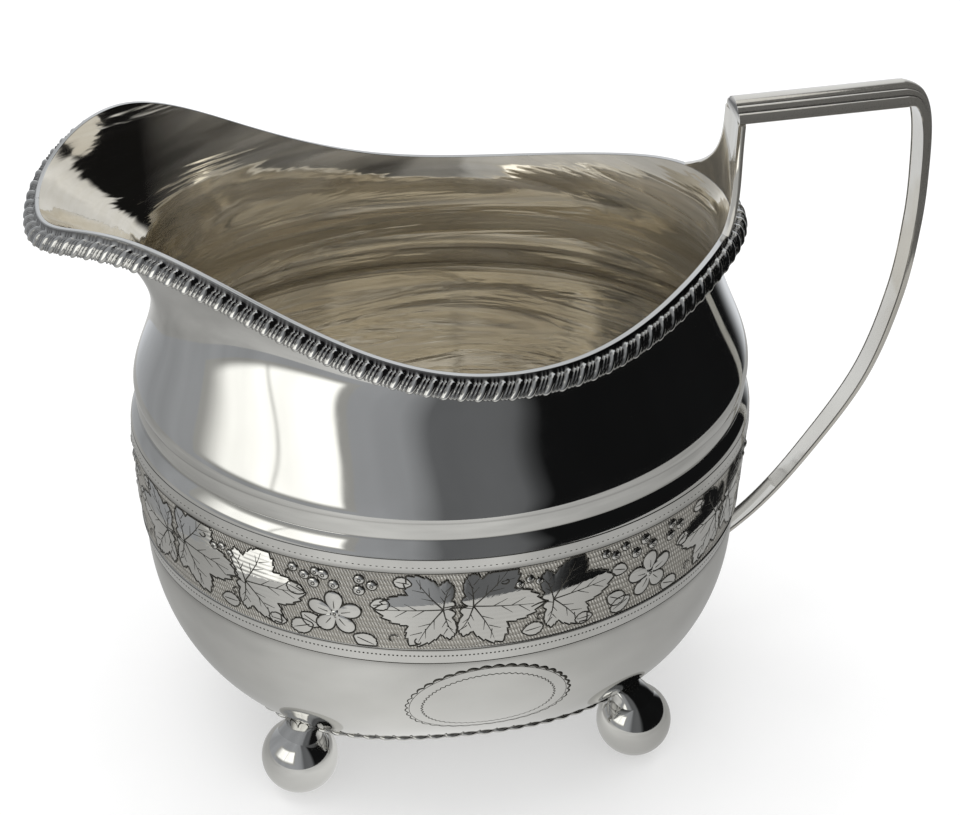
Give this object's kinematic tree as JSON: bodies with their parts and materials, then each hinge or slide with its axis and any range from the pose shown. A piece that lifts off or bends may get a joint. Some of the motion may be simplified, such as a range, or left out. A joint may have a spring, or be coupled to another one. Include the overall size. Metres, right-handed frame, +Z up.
{
  "type": "cream jug",
  "caption": "Oblong silver cream jug with a gadrooned rim and wide pouring lip, an engraved leaf band, an angular strap handle and ball feet.",
  "frame": {"origin": "centre of the bounding box in plan, on the plane the ball feet stand on", "axes": "+X towards the handle, -X towards the pouring lip, +Z up; +Y is the far long side when the lip is on the left"},
  "size_m": [0.1434, 0.0842, 0.1139],
  "materials": {
    "silver": "polished"
  },
  "bodies": {
    "root": {"body_shell": "silver", "base_plate": "silver", "gadroon_border_left": "silver", "gadroon_border_right": "silver", "handle_tang": "silver", "handle_grip": "silver", "handle_strap": "silver", "foot_pad_front_left": "silver", "foot_pad_front_right": "silver", "foot_pad_back_left": "silver", "foot_pad_back_right": "silver", "foot_ball_upper_front_left": "silver", "foot_ball_upper_front_right": "silver", "foot_ball_upper_back_left": "silver", "foot_ball_upper_back_right": "silver", "foot_ball_lower_front_left": "silver", "foot_ball_lower_front_right": "silver", "foot_ball_lower_back_left": "silver", "foot_ball_lower_back_right": "silver"}
  },
  "joints": []
}
